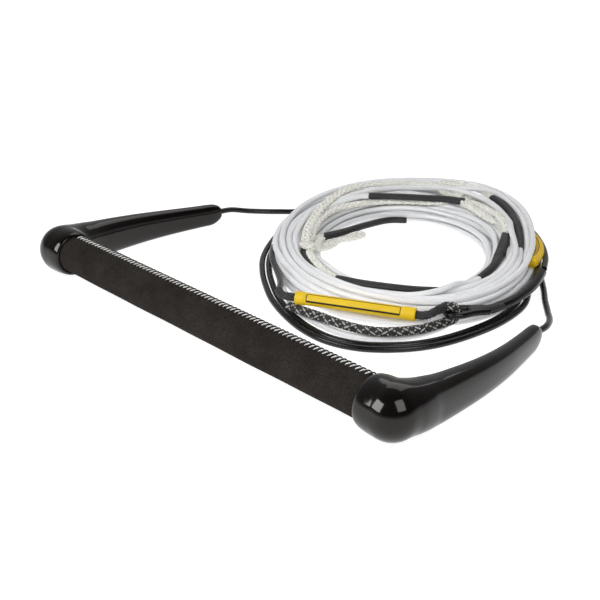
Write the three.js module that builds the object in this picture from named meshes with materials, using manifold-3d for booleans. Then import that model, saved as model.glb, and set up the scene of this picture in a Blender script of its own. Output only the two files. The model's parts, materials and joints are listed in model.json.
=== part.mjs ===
// Tow rope handle: a straight gripped bar between two moulded end caps whose arms
// carry a rope bridle, and the main rope stored as one loose oval coil.
// Millimetres. X runs along the bar, +Y from the bar to the arm tips, +Z up,
// and the handle rests on Z = 0 with the origin under the middle of its bounding box.
import * as THREE from 'three';
import { mergeVertices } from 'three/addons/utils/BufferGeometryUtils.js';
import Module from 'manifold-3d';

const wasm = await Module();
wasm.setup();

// ---- driving dimensions -------------------------------------------------------
const CLEARANCE = 0.3;            // gap left between pieces that touch
const CORD_ROOM = 0.4;            // gap cut round a cord that lies in the coil
const KNOB_X = 178;               // knob centre from the middle of the bar
const KNOB_RADIUS = 19.6;
const BAR_Z = 19;                 // bar axis above the surface
const ARM_REACH = 164.9;          // bar axis to the end of an arm
const BAR_Y = (KNOB_RADIUS - ARM_REACH) / 2;
const FLOOR_CUT = -0.6;           // how far the uncut cap reaches below its flat sole
const SECTION_POWER = 2.4;        // squareness of the cap's cross section

const COLLAR_RADIUS = 17.2;
const LIP_RADIUS = 17.7;
const COLLAR_LENGTH = 17.6;       // knob centre to the mouth of the socket
const GRIP_RADIUS = 15;
const GRIP_SOCKET_RADIUS = 15.4;
const GRIP_SOCKET_X = 163.6;      // where the wide part of the socket ends
const BAR_SOCKET_RADIUS = 11.5;
const BAR_SOCKET_X = 167;
const GRIP_HALF = 163.2;          // half length of the grip sleeve
const UNDERLAY_RADIUS = 13.3;
const BAR_RADIUS = 11.1;
const BAR_BORE = 9.3;
const BAR_HALF = 165.4;
const PLUG_LENGTH = 13;
const PLUG_FLANGE = 1.1;
const SEAM_ANGLE = 68;            // stitched seam on the grip, from +Y up to +Z, degrees
const THREAD_RADIUS = 0.8;
const ROPE_CHANNEL = 3.7;         // bore that the bridle rope passes through

const BRIDLE_RADIUS = 2.5;        // coated bridle rope
const BRAID_RADIUS = 3.4;         // bare two-colour braid of the loop
const ROPE_RADIUS = 2.5;          // coated main rope
const FLOOR_ROPE = BRIDLE_RADIUS + CLEARANCE;
const WHITE_FLOOR = ROPE_RADIUS + CLEARANCE;

const COIL_X = 5.3;               // centre of the stored coil
const COIL_Y = 144;
const COIL_TURN = 45.3;           // turn of its short axis from X, degrees
const COIL_STRETCH = 1.2;         // long axis over short axis
const COIL_INNER = 70;
const COIL_OUTER = 107.5;
const COIL_TOP = 14;
const SECTION_RINGS = [[72, 80], [81, 89], [90, 98]];
const SECTION_BASE = 14.3;
const SECTION_TOP = 19.7;

// ---- materials ----------------------------------------------------------------
const paint = (color, roughness, metalness = 0) =>
  new THREE.MeshStandardMaterial({ color, roughness, metalness });
const CAP = paint(0x0b0b0d, 0.18);
const SUEDE = paint(0x2b2522, 0.95);
const FOAM = paint(0x3a3a3c, 0.9);
const FLOAT = paint(0xe9e4d4, 0.9);
const THREAD = paint(0xd8d6cf, 0.8);
const ALUMINIUM = paint(0xb9bcc0, 0.35, 1);
const PLUG = paint(0x1b1b1d, 0.5);
const BLACK_ROPE = paint(0x121214, 0.4);
const TWO_COLOUR_BRAID = paint(0x4b4b4b, 0.8);
const SHRINK = paint(0x2a2a2d, 0.55);
const YELLOW = paint(0xe8b416, 0.35);
const WHITE_ROPE = paint(0xe9ebf2, 0.45);
const CREAM_BRAID = paint(0xe9e8dd, 0.7);

// ---- solids and helpers --------------------------------------------------------
// The geometry with shared vertices merged and every face turned outwards.
function closed(geometry) {
  const bare = geometry.clone();
  bare.deleteAttribute('normal');
  bare.deleteAttribute('uv');
  const merged = mergeVertices(bare, 1e-4);
  const position = merged.attributes.position;
  const index = Array.from(merged.index.array);
  const [a, b, c] = [0, 1, 2].map(() => new THREE.Vector3());
  let volume = 0;
  for (let i = 0; i < index.length; i += 3) {
    a.fromBufferAttribute(position, index[i]);
    b.fromBufferAttribute(position, index[i + 1]);
    c.fromBufferAttribute(position, index[i + 2]);
    volume += a.dot(b.cross(c));
  }
  if (volume < 0) merged.setIndex(index.reverse());
  merged.computeVertexNormals();
  return merged;
}

function solid(geometry) {
  const merged = closed(geometry);
  return new wasm.Manifold(new wasm.Mesh({
    numProp: 3,
    vertProperties: new Float32Array(merged.attributes.position.array),
    triVerts: new Uint32Array(merged.index.array),
  }));
}

function geometryOf(manifold) {
  const mesh = manifold.getMesh();
  const geometry = new THREE.BufferGeometry();
  geometry.setAttribute('position', new THREE.BufferAttribute(mesh.vertProperties, 3));
  geometry.setIndex(new THREE.BufferAttribute(mesh.triVerts, 1));
  geometry.computeVertexNormals();
  return geometry;
}

// A round section pushed along a smooth curve through the given points.
function rope(points, radius, steps, sides = 8) {
  const section = new THREE.Shape();
  for (let i = 0; i < sides; i++) {
    const angle = (2 * Math.PI * (i + 0.5)) / sides;
    const x = radius * Math.cos(angle);
    const y = radius * Math.sin(angle);
    if (i === 0) section.moveTo(x, y);
    else section.lineTo(x, y);
  }
  section.closePath();
  const extrudePath = new THREE.CatmullRomCurve3(points, false, 'centripetal');
  return new THREE.ExtrudeGeometry(section, { steps, bevelEnabled: false, extrudePath });
}

// A solid of revolution about X; the profile holds [x, radius] pairs.
function turned(profile, segments = 24) {
  const points = profile.map(([x, radius]) => new THREE.Vector2(radius, x));
  const geometry = new THREE.LatheGeometry(points, segments);
  geometry.rotateZ(-Math.PI / 2);
  return geometry;
}

// A pipe about X, from x0 to x1.
const pipe = (x0, x1, inner, outer) =>
  turned([[x0, inner], [x0, outer], [x1, outer], [x1, inner], [x0, inner]]);

const xyz = (list) => list.map(([x, y, z]) => new THREE.Vector3(x, y, z));

// Points round the coil: [angle in degrees, radius on the short axis, height].
function round(list) {
  const turn = THREE.MathUtils.degToRad(COIL_TURN);
  return list.map(([angle, radius, z]) => {
    const a = THREE.MathUtils.degToRad(angle);
    const u = radius * Math.cos(a);
    const v = COIL_STRETCH * radius * Math.sin(a);
    return new THREE.Vector3(
      COIL_X + u * Math.cos(turn) - v * Math.sin(turn),
      COIL_Y + u * Math.sin(turn) + v * Math.cos(turn),
      z,
    );
  });
}

// The same arc as a list of evenly spaced [angle, radius, height] rows.
function arc(from, to, radius, z, step = 12) {
  const count = Math.max(2, Math.round(Math.abs(to - from) / step));
  return Array.from({ length: count + 1 }, (_, i) => [from + ((to - from) * i) / count, radius, z]);
}

const model = new THREE.Group();
const handle = new THREE.Group();
handle.position.set(0, BAR_Y, 0);
model.add(handle);

function add(group, name, geometry, material) {
  const mesh = new THREE.Mesh(closed(geometry), material);
  mesh.name = name;
  group.add(mesh);
  return mesh;
}

// ---- end caps ------------------------------------------------------------------
// Rows of the arm: [distance from the bar axis, outward shift, top height, half width].
const ARM_ROWS = [
  [0, 0, 38.6, 19.6], [5, 0.6, 38, 19], [10, 2, 36.7, 17.8], [15, 3.6, 35.4, 16],
  [20, 4.9, 34.3, 14.3], [26.5, 5.8, 33.2, 12.6], [35.3, 6.8, 31.7, 11.2], [51, 7.6, 29.9, 9.8],
  [65.5, 7.8, 28.2, 8.9], [80, 7.5, 26.5, 8.2], [96, 6.4, 24.6, 7.6], [111.5, 4.6, 22.9, 7.1],
  [128, 1.9, 21.3, 6.6], [144.5, -1.2, 19.9, 6.2], [153.5, -3, 19.3, 5.9],
];
const TIP_ROWS = [[159.3, -4.1, 18.3, 5.4, 1.4], [162.9, -4.8, 16.2, 4.8, 4.2]];
const TIP_X = -5.2;               // how far the tip's end lies from the knob's centre
const TIP_CENTRE = 10.4;
const KNOB_LATITUDES = [-66, -48, -30, -14];
const CAP_SIDES = 18;
const CHANNEL_STEPS = 26;

// Centre, half width and half height of every ring, from the knob's front to the tip.
function capRings() {
  const rings = [{ y: -KNOB_RADIUS, x: 0, z: BAR_Z, a: 0, b: 0 }];
  for (const latitude of KNOB_LATITUDES) {
    const angle = THREE.MathUtils.degToRad(latitude);
    const r = KNOB_RADIUS * Math.cos(angle);
    rings.push({ y: KNOB_RADIUS * Math.sin(angle), x: 0, z: BAR_Z, a: r, b: r });
  }
  for (const [y, x, top, a] of ARM_ROWS) {
    rings.push({ y, x, z: (top + FLOOR_CUT) / 2, a, b: (top - FLOOR_CUT) / 2 });
  }
  for (const [y, x, top, a, bottom] of TIP_ROWS) {
    rings.push({ y, x, z: (top + bottom) / 2, a, b: (top - bottom) / 2 });
  }
  rings.push({ y: ARM_REACH, x: TIP_X, z: TIP_CENTRE, a: 0, b: 0 });
  return rings;
}

// A sphere's rows of vertices moved onto the rings; side is 1 (right) or -1 (left).
function capBody(side) {
  const rings = capRings();
  const geometry = new THREE.SphereGeometry(1, CAP_SIDES, rings.length - 1);
  const position = geometry.attributes.position;
  for (let i = 0; i < position.count; i++) {
    const ring = rings[Math.floor(i / (CAP_SIDES + 1))];
    const angle = (2 * Math.PI * (i % (CAP_SIDES + 1))) / CAP_SIDES;
    const power = ring.y <= 0 ? 2 : 2 + (SECTION_POWER - 2) * Math.min(1, ring.y / 30);
    const c = Math.cos(angle);
    const s = Math.sin(angle);
    const across = Math.sign(c) * Math.abs(c) ** (2 / power);
    const upward = Math.sign(s) * Math.abs(s) ** (2 / power);
    position.setXYZ(i, KNOB_X + ring.x + ring.a * across, ring.y, ring.z + ring.b * upward);
  }
  const body = solid(geometry);
  return side > 0 ? body : body.mirror([1, 0, 0]);
}

// Channel of the bridle rope from the bar through an arm, in handle coordinates.
const CORE_HALF = [
  [150, 0, 19], [164, 0, 19], [173, 1.2, 18.9], [179.6, 6.5, 18.6], [183, 15.5, 18],
  [184.2, 30, 17], [185.2, 65, 14.4], [183.6, 96, 12.4], [179.5, 128, 11],
  [175.2, 151.5, 10.5], [KNOB_X + TIP_X, ARM_REACH, TIP_CENTRE],
];
const CORE_STEPS = 60;
const mirrored = (points) => points.map(([x, y, z]) => [-x, y, z]);

function endCap(side) {
  const sided = (profile) => profile.map(([x, radius]) => [side * x, radius]);
  const mouth = KNOB_X - COLLAR_LENGTH;
  const collar = turned(sided([
    [mouth, 0], [mouth, COLLAR_RADIUS], [mouth + 1.1, LIP_RADIUS], [mouth + 4, LIP_RADIUS],
    [mouth + 5.6, COLLAR_RADIUS], [KNOB_X, COLLAR_RADIUS], [KNOB_X, 0],
  ]));
  const socket = turned(sided([
    [mouth - 4, 0], [mouth - 4, GRIP_SOCKET_RADIUS], [GRIP_SOCKET_X, GRIP_SOCKET_RADIUS],
    [GRIP_SOCKET_X, BAR_SOCKET_RADIUS], [BAR_SOCKET_X, BAR_SOCKET_RADIUS], [BAR_SOCKET_X, 0],
  ]));
  for (const part of [collar, socket]) part.translate(0, 0, BAR_Z);
  const beyond = [KNOB_X + TIP_X - 0.5, ARM_REACH + 6, TIP_CENTRE];
  const route = [...CORE_HALF, beyond].slice(1);
  const channel = rope(xyz(side > 0 ? route : mirrored(route)), ROPE_CHANNEL, CHANNEL_STEPS);
  const ground = new THREE.BoxGeometry(3 * KNOB_X, 3 * KNOB_X, KNOB_RADIUS);
  ground.translate(0, 0, -KNOB_RADIUS / 2);
  return geometryOf(capBody(side).add(solid(collar)).subtract(solid(socket))
    .subtract(solid(channel)).subtract(solid(ground)));
}

function addHandle() {
  for (const [side, name] of [[-1, 'left'], [1, 'right']]) {
    add(handle, `end_cap_${name}`, endCap(side), CAP);
    const outer = side * (BAR_HALF + PLUG_FLANGE);
    const shoulder = side * (BAR_HALF + 0.2);
    const inner = side * (BAR_HALF - PLUG_LENGTH);
    const profile = [
      [inner, ROPE_CHANNEL], [inner, BAR_BORE - CLEARANCE], [shoulder, BAR_BORE - CLEARANCE],
      [shoulder, BAR_RADIUS], [outer, BAR_RADIUS], [outer, ROPE_CHANNEL], [inner, ROPE_CHANNEL],
    ];
    add(handle, `bar_plug_${name}`, turned(profile), PLUG).position.z = BAR_Z;
  }
  const bar = [
    ['bar_tube', BAR_HALF, BAR_BORE, BAR_RADIUS, ALUMINIUM],
    ['float_core', BAR_HALF - PLUG_LENGTH - 1, ROPE_CHANNEL, BAR_BORE - CLEARANCE, FLOAT],
    ['grip_underlay', GRIP_HALF, BAR_RADIUS + CLEARANCE, UNDERLAY_RADIUS, FOAM],
    ['grip_cover', GRIP_HALF, UNDERLAY_RADIUS + CLEARANCE, GRIP_RADIUS, SUEDE],
  ];
  for (const [name, half, inner, outer, material] of bar) {
    add(handle, name, pipe(-half, half, inner, outer), material).position.z = BAR_Z;
  }
  const seamAngle = THREE.MathUtils.degToRad(SEAM_ANGLE);
  const seamRadius = GRIP_RADIUS + THREAD_RADIUS + 0.2;
  const seamLength = 2 * (KNOB_X - COLLAR_LENGTH) - 3;
  const seam = new THREE.CylinderGeometry(THREAD_RADIUS, THREAD_RADIUS, seamLength, 6);
  seam.rotateZ(Math.PI / 2);
  const thread = add(handle, 'grip_seam_thread', seam, THREAD);
  thread.position.set(0, seamRadius * Math.cos(seamAngle), BAR_Z + seamRadius * Math.sin(seamAngle));
  const core = [...mirrored(CORE_HALF).reverse(), ...CORE_HALF];
  add(handle, 'bridle_core', rope(xyz(core), BRIDLE_RADIUS, CORE_STEPS), BLACK_ROPE);
}

// ---- bridle and its loops --------------------------------------------------------
// Both legs run round the front of the coil side by side: the middle line of the pair.
const PAIR_ROUTE = [
  [-77, 62], [-54, 39.5], [-31, 22], [-7, 7], [23, -5.5], [46, -11], [68, -11],
  [90, -2.5], [110, 16], [123, 37.5], [131.5, 68], [134.5, 104], [129, 138],
];
const PAIR_HALF_GAP = 2.9;
const LEG_STEPS = 80;

// One strand of the pair: the middle line moved sideways; +1 is the outer strand.
function strand(side) {
  const middle = PAIR_ROUTE.map(([x, y]) => new THREE.Vector2(x, y));
  return middle.map((point, i) => {
    const before = middle[Math.max(0, i - 1)];
    const after = middle[Math.min(middle.length - 1, i + 1)];
    const along = after.clone().sub(before).normalize();
    return new THREE.Vector3(
      point.x + side * PAIR_HALF_GAP * along.y,
      point.y - side * PAIR_HALF_GAP * along.x,
      FLOOR_ROPE,
    );
  });
}

const LEFT_TIP = [
  [-172.7, 93.2, 10.4], [-171.4, 104, 9.4], [-165.8, 120, 5.6], [-157, 135, 3.4], [-147, 147, 2.8],
  [-140, 154, 2.8], [-135.4, 162.6, 2.8],
];
const LEFT_BEHIND = [
  [128, 125, 2.8], [116, 125, 2.8], [104, 125.5, 2.8], [92, 126.5, 2.8], [82, 128, 2.8],
  [73, 131, 2.8], [65, 133.8, 2.8], [58, 134, 2.8], [53.4, 130.5, 2.8], [52, 125, 2.8],
  [54.6, 119.5, 2.8], [60, 116.5, 2.8], [68, 116, 2.8],
];
const LEFT_TURN = [
  [-26, 106.5, 2.8], [-14, 103.5, 2.8], [0, 102, 2.8], [14, 101, 2.8], [25, 100, 3.3],
  [34, 100.5, 5], [39.5, 104, 8], [41.8, 109.5, 10.3], [40.8, 115.5, 12], [36, 119.8, 13.4],
  [28, 119.5, 14.3], [15, 118, 14.5], [0, 117, 14.5], [-12, 116.8, 14.3], [-22, 116.3, 13.9],
];
const RIGHT_TIP = [
  [172.7, 93.2, 10.4], [171.8, 104, 9.6], [165.6, 119.5, 7], [153.5, 136.5, 4.2], [140, 154, 3.1],
  [127, 172, 2.8],
];
const RIGHT_TURN = [
  [-30, 101.5, 2.8], [-16, 97.5, 2.8], [0, 95.5, 2.8], [9, 94.5, 3.4], [17, 94.3, 5.4],
  [23, 96.5, 8.6], [26.2, 101.3, 9.9], [26.4, 106.5, 10.1], [22.5, 110.8, 9.9],
  [15, 112.6, 9.5], [5, 112.6, 9.3], [-8, 112.3, 9.2], [-22, 111.8, 9.3],
];

function bridleLegs() {
  const left = [
    ...xyz(LEFT_TIP), ...round([...LEFT_BEHIND, ...arc(78, 162, 116, FLOOR_ROPE)]),
    ...strand(1), ...round(LEFT_TURN),
  ];
  const right = [
    ...xyz(RIGHT_TIP), ...round([[-12, 112, FLOOR_ROPE], ...arc(0, 164, 109.4, FLOOR_ROPE)]),
    ...strand(-1), ...round(RIGHT_TURN),
  ];
  return { left, right };
}

// The shrunk sleeve that binds the two legs, along the front right of the coil.
const JUNCTION_ROUTE = [
  [-22.6, 114.2, 11.7], [-36, 114.5, 11.8], [-50, 115.2, 12.4], [-63, 116.4, 13],
];
const JUNCTION_RADIUS = 5.6;
const JUNCTION_STEPS = 8;

// The eye that the legs end in: a flat teardrop that the braided loop hooks through.
const EYE_ROUTE = [
  [127.8, 92, 13.8], [121.8, 83.5, 14.6], [114.2, 73.4, 15.2], [111.2, 66.4, 15.2], [115, 62, 15.2],
  [120.6, 62.4, 15.2], [124.4, 66.6, 15.2], [128, 78, 14.8], [132.8, 89.4, 13.6],
];
const BRIDLE_EYE_STEPS = 18;
// Two-colour braid of the loop: over the floor turns, then up through the eye and over it.
const LOOP_FRONT_ROUTE = [
  [16.5, -2.2, 9.5], [30, -0.8, 9.4], [44, 1.2, 9.4], [62, 3, 9.4], [80, 7.2, 9.4],
  [93, 14.5, 9.4], [103, 25.5, 9.4], [110, 38, 9.1], [113.2, 50, 8.8], [115.6, 60.5, 8.8],
  [118.1, 67, 10.6], [118.9, 69.4, 15.2], [117.7, 66.2, 20], [115.2, 60, 21.7],
];
// Bare black braid that closes the loop, straight where the yellow sleeve sits on it.
const SLEEVE_START = new THREE.Vector3(23, -1, 18);
const SLEEVE_END = new THREE.Vector3(104, 40, 18);
const LOOP_STEPS = 26;
const SLEEVE_OUTER = 4.8;
const SLEEVE_INNER = 3.4;
const STRAIGHT_BEYOND = 5.5;      // straight rope past each end of the sleeve
const LOOP_BACK_END = [[114.8, 58.8, 21.7], [114, 52.5, 21], [112.2, 46.6, 19.2]];
const LOOP_BACK_START = [[12.6, -4.6, 17.8], [7.5, -3, 17.2], [2.6, 0.8, 16.6]];

// Black leader from the loop's splice back into the coil.
const LEADER_ROUTE = [
  [1.8, 1.6, 16.4], [-7, 11.5, 15.4], [-20, 22.5, 13.8], [-35, 33.5, 12.6], [-50, 44, 11.8],
  [-64, 56, 11], [-75, 68, 10.5],
];
const LEADER_STEPS = 10;

// A straight tube between two points with an open bore.
function straightSleeve(start, end, inner, outer) {
  const length = end.distanceTo(start);
  const geometry = pipe(0, length, inner, outer);
  const turn = new THREE.Quaternion().setFromUnitVectors(
    new THREE.Vector3(1, 0, 0), end.clone().sub(start).normalize(),
  );
  geometry.applyQuaternion(turn);
  geometry.translate(start.x, start.y, start.z);
  return geometry;
}

function addBridle(legs) {
  add(model, 'bridle_left', rope(legs.left, BRIDLE_RADIUS, LEG_STEPS), BLACK_ROPE);
  add(model, 'bridle_right', rope(legs.right, BRIDLE_RADIUS, LEG_STEPS), BLACK_ROPE);
  add(model, 'junction_sleeve', rope(round(JUNCTION_ROUTE), JUNCTION_RADIUS, JUNCTION_STEPS, 12), SHRINK);
  add(model, 'bridle_eye', rope(xyz(EYE_ROUTE), BRIDLE_RADIUS, BRIDLE_EYE_STEPS), BLACK_ROPE);
  add(model, 'loop_front', rope(xyz(LOOP_FRONT_ROUTE), BRAID_RADIUS, LOOP_STEPS), TWO_COLOUR_BRAID);
  const along = SLEEVE_END.clone().sub(SLEEVE_START);
  const beyond = STRAIGHT_BEYOND / along.length();
  const straight = [1 + beyond, 1, 0.75, 0.5, 0.25, 0, -beyond]
    .map((share) => SLEEVE_START.clone().addScaledVector(along, share));
  const run = [...xyz(LOOP_BACK_END), ...straight, ...xyz(LOOP_BACK_START)];
  add(model, 'loop_back', rope(run, BRIDLE_RADIUS, LOOP_STEPS), BLACK_ROPE);
  add(model, 'yellow_sleeve_front',
    straightSleeve(SLEEVE_START, SLEEVE_END, SLEEVE_INNER, SLEEVE_OUTER), YELLOW);
  add(model, 'leader', rope(xyz(LEADER_ROUTE), BRIDLE_RADIUS, LEADER_STEPS), BLACK_ROPE);
}

// ---- main rope ---------------------------------------------------------------------
const LOOSE_TURN = [
  [-44, 45], [-26, 31], [-6, 17.5], [12, 8.5], [30, 3], [48, 1], [64, 1.5], [80, 6.5], [93, 16],
  [103, 30], [109, 45], [111.5, 60], [111, 76],
].map(([x, y]) => [x, y, WHITE_FLOOR]);
const REAR_SLEEVE_SPAN = [-16, 12];
const REAR_SLEEVE_PLACE = [104.2, 12.6];      // radius round the coil, height
const REAR_SLEEVE_OUTER = 4.4;
const REAR_SLEEVE_STEPS = 8;
const LOOSE_STEPS = 24;
const RING_SEGMENTS = 40;

function ring(inner, outer, base, top, chamfer) {
  const profile = (chamfer > 0 ? [
    [inner, base + chamfer], [inner + chamfer, base], [outer - 1.5 * chamfer, base],
    [outer, base + chamfer], [outer, top - chamfer / 2], [outer - chamfer / 2, top],
    [inner + chamfer / 2, top], [inner, top - chamfer / 2], [inner, base + chamfer],
  ] : [[inner, base], [outer, base], [outer, top], [inner, top], [inner, base]])
    .map(([radius, z]) => new THREE.Vector2(radius, z));
  const geometry = new THREE.LatheGeometry(profile, RING_SEGMENTS);
  geometry.rotateX(Math.PI / 2);
  geometry.scale(1, COIL_STRETCH, 1);
  geometry.rotateZ(THREE.MathUtils.degToRad(COIL_TURN));
  geometry.translate(COIL_X, COIL_Y, 0);
  return geometry;
}

function addMainRope(legs) {
  let coil = solid(ring(COIL_INNER, COIL_OUTER, CLEARANCE, COIL_TOP, 5));
  const rearRoute = round(arc(...REAR_SLEEVE_SPAN, ...REAR_SLEEVE_PLACE, 7));
  const resting = [
    [legs.left, BRIDLE_RADIUS, LEG_STEPS], [legs.right, BRIDLE_RADIUS, LEG_STEPS],
    [round(JUNCTION_ROUTE), JUNCTION_RADIUS, JUNCTION_STEPS],
    [xyz(EYE_ROUTE), BRIDLE_RADIUS, BRIDLE_EYE_STEPS],
    [xyz(LEADER_ROUTE), BRIDLE_RADIUS, LEADER_STEPS], [xyz(LOOSE_TURN), ROPE_RADIUS, LOOSE_STEPS],
    [rearRoute, REAR_SLEEVE_OUTER, REAR_SLEEVE_STEPS],
  ];
  for (const [route, radius, steps] of resting) {
    coil = coil.subtract(solid(rope(route, radius + CORD_ROOM, steps)));
  }
  add(model, 'main_rope_coil', geometryOf(coil), WHITE_ROPE);
  add(model, 'main_rope_loose_turn', rope(xyz(LOOSE_TURN), ROPE_RADIUS, LOOSE_STEPS), WHITE_ROPE);
  SECTION_RINGS.forEach(([inner, outer], i) => {
    const body = ring(inner, outer, SECTION_BASE, SECTION_TOP, 0);
    add(model, `section_${i + 1}_coil`, body, WHITE_ROPE);
  });
  const rear = solid(rope(rearRoute, REAR_SLEEVE_OUTER, REAR_SLEEVE_STEPS, 10));
  const [low, high] = REAR_SLEEVE_SPAN;
  const bore = solid(rope(round(arc(low - 4, high + 4, ...REAR_SLEEVE_PLACE, 9)),
    ROPE_RADIUS + CORD_ROOM, REAR_SLEEVE_STEPS));
  add(model, 'yellow_sleeve_rear', geometryOf(rear.subtract(bore)), YELLOW);
}

// Spliced eyes and their shrunk sleeves lie on the coil in linked pairs; the last pair hangs
// into its hole. Each route holds [angle round the coil, radius, height] rows.
const EYE_TOP = 24.3;
const SHRINK_TOP = 23.5;
const EYE_RADIUS = 4.2;
const LEG_RADIUS = 3.4;
const SHRINK_RADIUS = 3.4;
const EYE_STEP = 7;               // length of tube per step
const level = (z, rows) => rows.map(([angle, radius]) => [angle, radius, z]);
const EYES = {
  main_rope_eye: level(EYE_TOP, [
    [187, 99], [177, 92], [165, 87.5], [150, 86.5], [133, 91], [121, 96], [106, 100], [92, 103],
    [78, 108],
  ]),
  section_1_eye_main: level(EYE_TOP, [[74, 109], [60, 114], [50, 117], [42, 116]]),
  section_1_eye: level(EYE_TOP, [[43, 95], [30, 93], [18, 91]]),
  section_2_eye_first: level(EYE_TOP, [[13, 92], [8, 93], [3, 94]]),
  section_2_eye: level(EYE_TOP, [[225, 92], [213, 85], [203, 82]]),
  section_3_eye_first: [
    [198, 81, 24.4], [193, 76, 24.8], [189, 68, 24], [186, 62, 18], [182, 58, 12], [172, 54, 8],
    [158, 49, 5.5], [142, 47, 4.7],
  ],
};
const INNER_LEG = level(SHRINK_TOP, [
  [185, 84], [174, 78.5], [160, 77.5], [142, 78], [126, 78], [112, 77],
]);
const SHRINKS = {
  main_rope_shrink: level(SHRINK_TOP, [[222, 103], [206, 103], [193, 101]]),
  section_1_shrink_main: level(SHRINK_TOP, [[37, 112], [21, 108], [5, 103]]),
  section_1_shrink: level(SHRINK_TOP, [[106, 87], [75, 77], [49, 93]]),
  section_2_shrink_first: level(SHRINK_TOP, [[-1, 92], [-20, 78], [-50, 84]]),
  section_2_shrink: level(SHRINK_TOP, [[283, 91], [256, 87], [230, 95]]),
  section_3_shrink_first: [[160, 64.5, 9], [146, 60, 7], [118, 60, 5], [94, 65.5, 4], [82, 65.5, 4]],
};

function addSplices() {
  const piece = (name, route, radius, material) => {
    const points = round(route);
    const length = new THREE.CatmullRomCurve3(points, false, 'centripetal').getLength();
    add(model, name, rope(points, radius, Math.ceil(length / EYE_STEP)), material);
  };
  for (const [name, route] of Object.entries(EYES)) piece(name, route, EYE_RADIUS, CREAM_BRAID);
  piece('main_rope_eye_inner_leg', INNER_LEG, LEG_RADIUS, CREAM_BRAID);
  for (const [name, route] of Object.entries(SHRINKS)) piece(name, route, SHRINK_RADIUS, SHRINK);
}

addHandle();
const legs = bridleLegs();
addBridle(legs);
addMainRope(legs);
addSplices();

export default model;
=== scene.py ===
"""A tow rope handle: a suede grip between two glossy end caps, with its rope bridle and
the main rope lying beside it in one loose oval coil. Lengths in the lists are millimetres."""
import json
import math

import bmesh
import bpy
import numpy as np
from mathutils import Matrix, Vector


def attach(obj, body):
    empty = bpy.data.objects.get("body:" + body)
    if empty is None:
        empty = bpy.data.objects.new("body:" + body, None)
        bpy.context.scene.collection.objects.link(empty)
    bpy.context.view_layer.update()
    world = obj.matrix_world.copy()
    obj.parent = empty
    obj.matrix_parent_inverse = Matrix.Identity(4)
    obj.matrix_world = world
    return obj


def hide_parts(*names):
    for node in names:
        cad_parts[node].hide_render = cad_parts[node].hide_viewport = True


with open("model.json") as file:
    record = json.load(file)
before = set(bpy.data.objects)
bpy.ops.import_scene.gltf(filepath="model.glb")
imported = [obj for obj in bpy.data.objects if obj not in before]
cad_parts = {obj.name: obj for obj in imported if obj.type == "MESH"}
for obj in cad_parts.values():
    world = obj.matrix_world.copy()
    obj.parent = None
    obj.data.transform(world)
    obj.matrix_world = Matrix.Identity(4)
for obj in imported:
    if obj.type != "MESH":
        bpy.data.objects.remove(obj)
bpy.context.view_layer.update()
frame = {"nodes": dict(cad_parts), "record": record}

MM = 0.001
BODY = "handle"
SLEEVE_BODY = "front_sleeve"
rng = np.random.default_rng(7)

# ---- camera
CAMERA_PLACE = (0.5040, -0.4722, 0.3348)
CAMERA_PITCH = 25.337  # degrees below the horizon
CAMERA_YAW = 45.345  # degrees from +Y towards -X
CAMERA_LENS = 60.0


def make_camera():
    data = bpy.data.cameras.new("camera")
    data.lens = CAMERA_LENS
    data.sensor_width = 36
    data.clip_start, data.clip_end = 0.01, 30
    camera = bpy.data.objects.new("camera", data)
    camera.location = CAMERA_PLACE
    camera.rotation_euler = (math.radians(90 - CAMERA_PITCH), 0, math.radians(CAMERA_YAW))
    bpy.context.scene.collection.objects.link(camera)
    bpy.context.scene.camera = camera


make_camera()

# ---- materials


class NodeTree:
    """Helpers for the nodes of a material or of the world."""

    def __init__(self, tree):
        self.nodes = tree.nodes
        self.links = tree.links

    def node(self, kind, **values):
        node = self.nodes.new(kind)
        for key, value in values.items():
            setattr(node, key, value)
        return node

    def ramp(self, value, stops):
        node = self.node("ShaderNodeValToRGB")
        elements = node.color_ramp.elements
        while len(elements) < len(stops):
            elements.new(0.5)
        for element, (position, color) in zip(elements, stops):
            element.position = position
            grey = isinstance(color, (int, float))
            element.color = (color, color, color, 1) if grey else (*color, 1)
        self.links.new(value, node.inputs["Fac"])
        return node.outputs["Color"]

    def mix(self, factor, a, b, blend="MIX"):
        node = self.node("ShaderNodeMix", data_type="RGBA", blend_type=blend)
        for socket, value in (("Factor", factor), ("A", a), ("B", b)):
            target = [i for i in node.inputs if i.name == socket and i.enabled][0]
            if isinstance(value, tuple):
                target.default_value = (*value, 1)
            elif isinstance(value, (int, float)):
                target.default_value = value
            else:
                self.links.new(value, target)
        return [o for o in node.outputs if o.enabled][0]


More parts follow.
